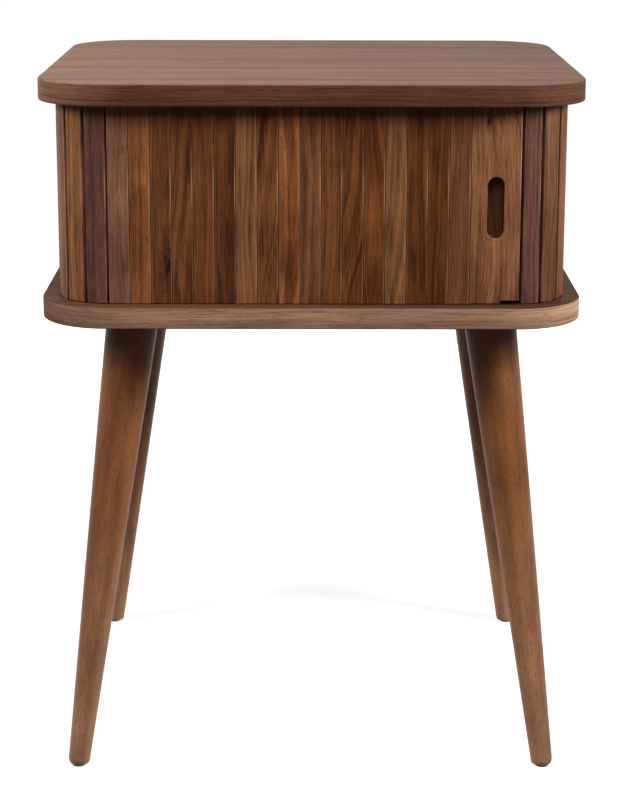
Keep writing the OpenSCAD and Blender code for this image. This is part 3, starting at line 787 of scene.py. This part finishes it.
def leg(name, side_x, side_y, node, seed, foot_light, shade):
    """A turned, splayed leg: a cone with a rounded foot, cut level at the board and at the glide."""
    foot = Vector((side_x * FOOT_X, side_y * FOOT_Y, FOOT_Z))
    head = Vector((side_x * HEAD_X, side_y * HEAD_Y, bottom_low.z))
    axis, length = (head - foot).normalized(), (head - foot).length
    side = axis.cross(Vector((0, 1, 0))).normalized()
    other = axis.cross(side)
    angles = (2 * math.pi * i / LEG_SIDES for i in range(LEG_SIDES))
    spokes = [math.cos(a) * side + math.sin(a) * other for a in angles]

    stations = [(-foot.z, (LEG_FOOT_R - FOOT_EASE) * SOLE_RING)]
    stations += [(-foot.z + FOOT_EASE_UP * (1 - along), LEG_FOOT_R - FOOT_EASE * (1 - out))
                 for out, along in quarter(6)]
    rings = [[foot + along * axis + r * spoke for spoke in spokes] for along, r in stations]
    for p in (p for ring in rings for p in ring):
        p.z = max(p.z, foot.z)

    slope = (LEG_HEAD_R - LEG_FOOT_R) / (length - FOOT_EASE_UP + foot.z)
    starts = [foot + (FOOT_EASE_UP - foot.z) * axis + LEG_FOOT_R * spoke for spoke in spokes]
    lines = [axis + slope * spoke for spoke in spokes]
    for k in range(1, LEG_STEPS + 1):
        rings.append([start + line * ((head.z - start.z) / line.z) * k / LEG_STEPS
                      for start, line in zip(starts, lines)])
    bm = bmesh.new()
    loft(bm, rings)
    piece = new_piece(name, bm, "cabinet", smooth_angle=60)

    frame_of_leg = Matrix((side, other, axis)).transposed().to_4x4()
    frame_of_leg.translation = (foot + head) / 2
    # Painted light at the foot and below the head, and a painted shadow right under the board.
    fades = ((2, *FOOT_LIGHT_FADE, foot_light, WHITE), (2, *HEAD_LIGHT_FADE, WHITE, HEAD_LIGHT_TINT),
             (2, *HEAD_SHADOW_FADE, WHITE, HEAD_SHADOW_TINT))
    dress(piece, walnut(name + "_wood", "leg", seed, frame_of_leg.inverted(), LEG_ROUGHNESS, LEG_GLOSS,
                        rings=26, shade=shade, wander=0.8, staves=LEG_STAVES, fine=0.25, fades=fades))
    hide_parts(node)


leg("leg_front_left", -1, -1, "front_left_leg", 71, FRONT_FOOT_LIGHT, FRONT_SHADE)
leg("leg_front_right", 1, -1, "front_right_leg", 72, FRONT_FOOT_LIGHT, FRONT_SHADE)
leg("leg_rear_left", -1, 1, "rear_left_leg", 73, REAR_FOOT_LIGHT, REAR_PAINTED_LIGHT)
leg("leg_rear_right", 1, 1, "rear_right_leg", 74, REAR_FOOT_LIGHT, REAR_PAINTED_LIGHT)

# ---------------------------------------------------------------- canvas
CANVAS = finish_of("canvas_cloth", "2c2723", 0.9, bump=0.5, weave=5200.0, dark=0.5)


def canvas_strip(name, body, first, count=1):
    """The part of the canvas that is glued to the slats of one body: count slats from place first on."""
    s, length = first * SLAT_PITCH, count * SLAT_PITCH
    wide = (track(s + length) - track(s)).length - STRIP_GAP
    narrow = wide - STRIP_TAPER
    z0, z1 = SLAT_Z0 + CANVAS_INSET, SLAT_Z1 - CANVAS_INSET
    y0, y1 = GLUE, GLUE + CANVAS_T
    outline = [(-wide / 2, y0), (wide / 2, y0), (narrow / 2, y1), (-narrow / 2, y1)]
    bm = bmesh.new()
    prism(bm, outline, z0, z1, place(s, length))
    piece = new_piece(name, bm, body)
    dress(piece, CANVAS)
    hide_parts("canvas")


canvas_strip("canvas_door", "door_run", 1 - FIRST_END, FIRST_END - 1)
for n, body in BODY_OF_END.items():
    canvas_strip(f"canvas_{body}", body, -n)
for n in range(1, BEND_SLATS + 1):
    canvas_strip(f"canvas_corner_{n}", f"corner_{n}", n - 1)
canvas_strip("canvas_side_first", "side_first", BEND_SLATS)
canvas_strip("canvas_side", "side_run", BEND_SLATS + 1, SIDE_SLATS - 1)
for n in range(1, TAIL_SLATS + 1):
    canvas_strip(f"canvas_tail_{n}", f"tail_{n}", BEND_SLATS + SIDE_SLATS + n - 1)

# ---------------------------------------------------------------- carcass and fasteners
for node, seed, turn in (("left_liner", 81, ALONG_Y), ("right_liner", 82, ALONG_Y),
                         ("inner_back", 83, ALONG_X), ("back_panel", 84, ALONG_X)):
    dress_node(node, walnut(node + "_wood", "top", seed, turn, rings=120))
for node, name, code, roughness, metallic in (("leg_bolts", "zinc_steel", "b4b7ba", 0.35, 1.0),
                                              ("carcass_screws", "screw_steel", "b4b7ba", 0.35, 1.0),
                                              ("leg_inserts", "turned_brass", "b08d4a", 0.3, 1.0),
                                              ("dowels", "beech_wood", "cfa878", 0.6, 0.0),
                                              ("glides", "glide_plastic", "3a2b22", 0.55, 0.0)):
    dress_node(node, finish_of(name, code, roughness, metallic))

# ---------------------------------------------------------------- camera, floor and light
# The photograph's own view, fitted to the edges of the boards: the eye in metres, its angles in radians, and
# its focal length and shift in pixels of a frame that is FRAME_PX high.
EYE, DOWN, YAW, ROLL = (-0.0025, -1.8536, 0.7797), 0.2207, 0.0023, 0.0022
FRAME_PX, FOCAL_PX, SHIFT_PX, SENSOR_MM = 800, 2095, -90, 36
# The floor reaches far past the picture and turns from pale to white between two distances from the table.
FLOOR_REACH, FLOOR_NEAR, FLOOR_FAR = 6.0, 0.6, 2.4
NEAR_GLOW, FAR_GLOW = 0.67, 0.97
FLOOR_TONE_SEEN, FLOOR_TONE_UNSEEN = grey(0.5), grey(0.1)
SURROUND_SEEN, SURROUND_LIGHT = 0.95, 0.05
# Each lamp's place, what it faces, its width, its power and, unless it is square, its height.
LAMPS = {
    "key": ((0.1, -1.12, 1.66), (0, -0.1, 0.45), 0.85, 14.3),
    "left box": ((-1.5, -0.6, 1.28), (0, 0, 0.4), 0.4, 24.5, 0.6),
    "right box": ((1.5, -0.65, 1.18), (0, 0, 0.4), 0.4, 31, 0.6),
    "rear box": ((0, 1.5, 2.1), (0, 0, 0.4), 1.4, 8.5),
    "low rear box": ((0, 1.9, 0.3), (0, 0, 0.3), 1.0, 12, 0.5),
}


def camera():
    data = bpy.data.cameras.new("view")
    data.sensor_width = SENSOR_MM
    data.lens = FOCAL_PX * SENSOR_MM / FRAME_PX
    data.shift_y = SHIFT_PX / FRAME_PX
    data.clip_end = 50
    eye = bpy.data.objects.new("view", data)
    ahead = Vector((math.sin(YAW) * math.cos(DOWN), math.cos(YAW) * math.cos(DOWN), -math.sin(DOWN)))
    right = ahead.cross(Vector((0, 0, 1))).normalized()
    up = right.cross(ahead)
    side = math.cos(ROLL) * right + math.sin(ROLL) * up
    over = -math.sin(ROLL) * right + math.cos(ROLL) * up
    eye.matrix_world = Matrix.Translation(EYE) @ Matrix((side, over, -ahead)).transposed().to_4x4()
    bpy.context.scene.collection.objects.link(eye)
    bpy.context.scene.camera = eye


def seen_by_eye(tree, strength):
    """A strength that only camera rays and the rays of glossy or clear surfaces meet."""
    path = add(tree, "ShaderNodeLightPath").outputs
    rays = maths(tree, "MAXIMUM", path["Is Glossy Ray"], path["Is Transmission Ray"])
    return maths(tree, "MULTIPLY", maths(tree, "MAXIMUM", path["Is Camera Ray"], rays), strength)


def studio_floor():
    """A pale floor that keeps the table's shadow and throws little light up."""
    mesh = bpy.data.meshes.new("floor")
    r = FLOOR_REACH
    mesh.from_pydata([(-r, -r, 0), (r, -r, 0), (r, r, 0), (-r, r, 0)], [], [(0, 1, 2, 3)])
    floor = bpy.data.objects.new("floor", mesh)
    bpy.context.scene.collection.objects.link(floor)
    material, tree = new_tree("floor_white")
    pale = mixed(tree, seen_by_eye(tree, 1.0), FLOOR_TONE_UNSEEN, FLOOR_TONE_SEEN)
    matt = add(tree, "ShaderNodeBsdfDiffuse", {"Color": pale}).outputs[0]
    far = add(tree, "ShaderNodeVectorMath", {0: object_place(tree)}, operation="LENGTH").outputs["Value"]
    rise = ranged(tree, far, FLOOR_NEAR, FLOOR_FAR, NEAR_GLOW, FAR_GLOW, smooth=True)
    glow = add(tree, "ShaderNodeEmission", {"Color": WHITE, "Strength": seen_by_eye(tree, rise)}).outputs[0]
    both = add(tree, "ShaderNodeAddShader", {0: matt, 1: glow}).outputs[0]
    add(tree, "ShaderNodeOutputMaterial", {0: both})
    floor.data.materials.append(material)


def surround():
    """A white world that gives little light of its own."""
    world = bpy.data.worlds.new("studio")
    bpy.context.scene.world = world
    world.use_nodes = True
    tree = world.node_tree
    tree.nodes.clear()
    strength = maths(tree, "ADD", seen_by_eye(tree, SURROUND_SEEN), SURROUND_LIGHT)
    white = add(tree, "ShaderNodeBackground", {"Color": WHITE, "Strength": strength}).outputs[0]
    add(tree, "ShaderNodeOutputWorld", {0: white})


def area_light(name, position, target, width, power, height=None):
    data = bpy.data.lights.new(name, "AREA")
    data.energy, data.size = power, width
    if height:
        data.shape, data.size_y = "RECTANGLE", height
    lamp = bpy.data.objects.new(name, data)
    ray = Vector(target) - Vector(position)
    lamp.matrix_world = Matrix.Translation(position) @ ray.to_track_quat("-Z", "Y").to_matrix().to_4x4()
    bpy.context.scene.collection.objects.link(lamp)


camera()
studio_floor()
surround()
for name, numbers in LAMPS.items():
    area_light(name, *numbers)
bpy.context.scene.view_settings.view_transform = "Standard"
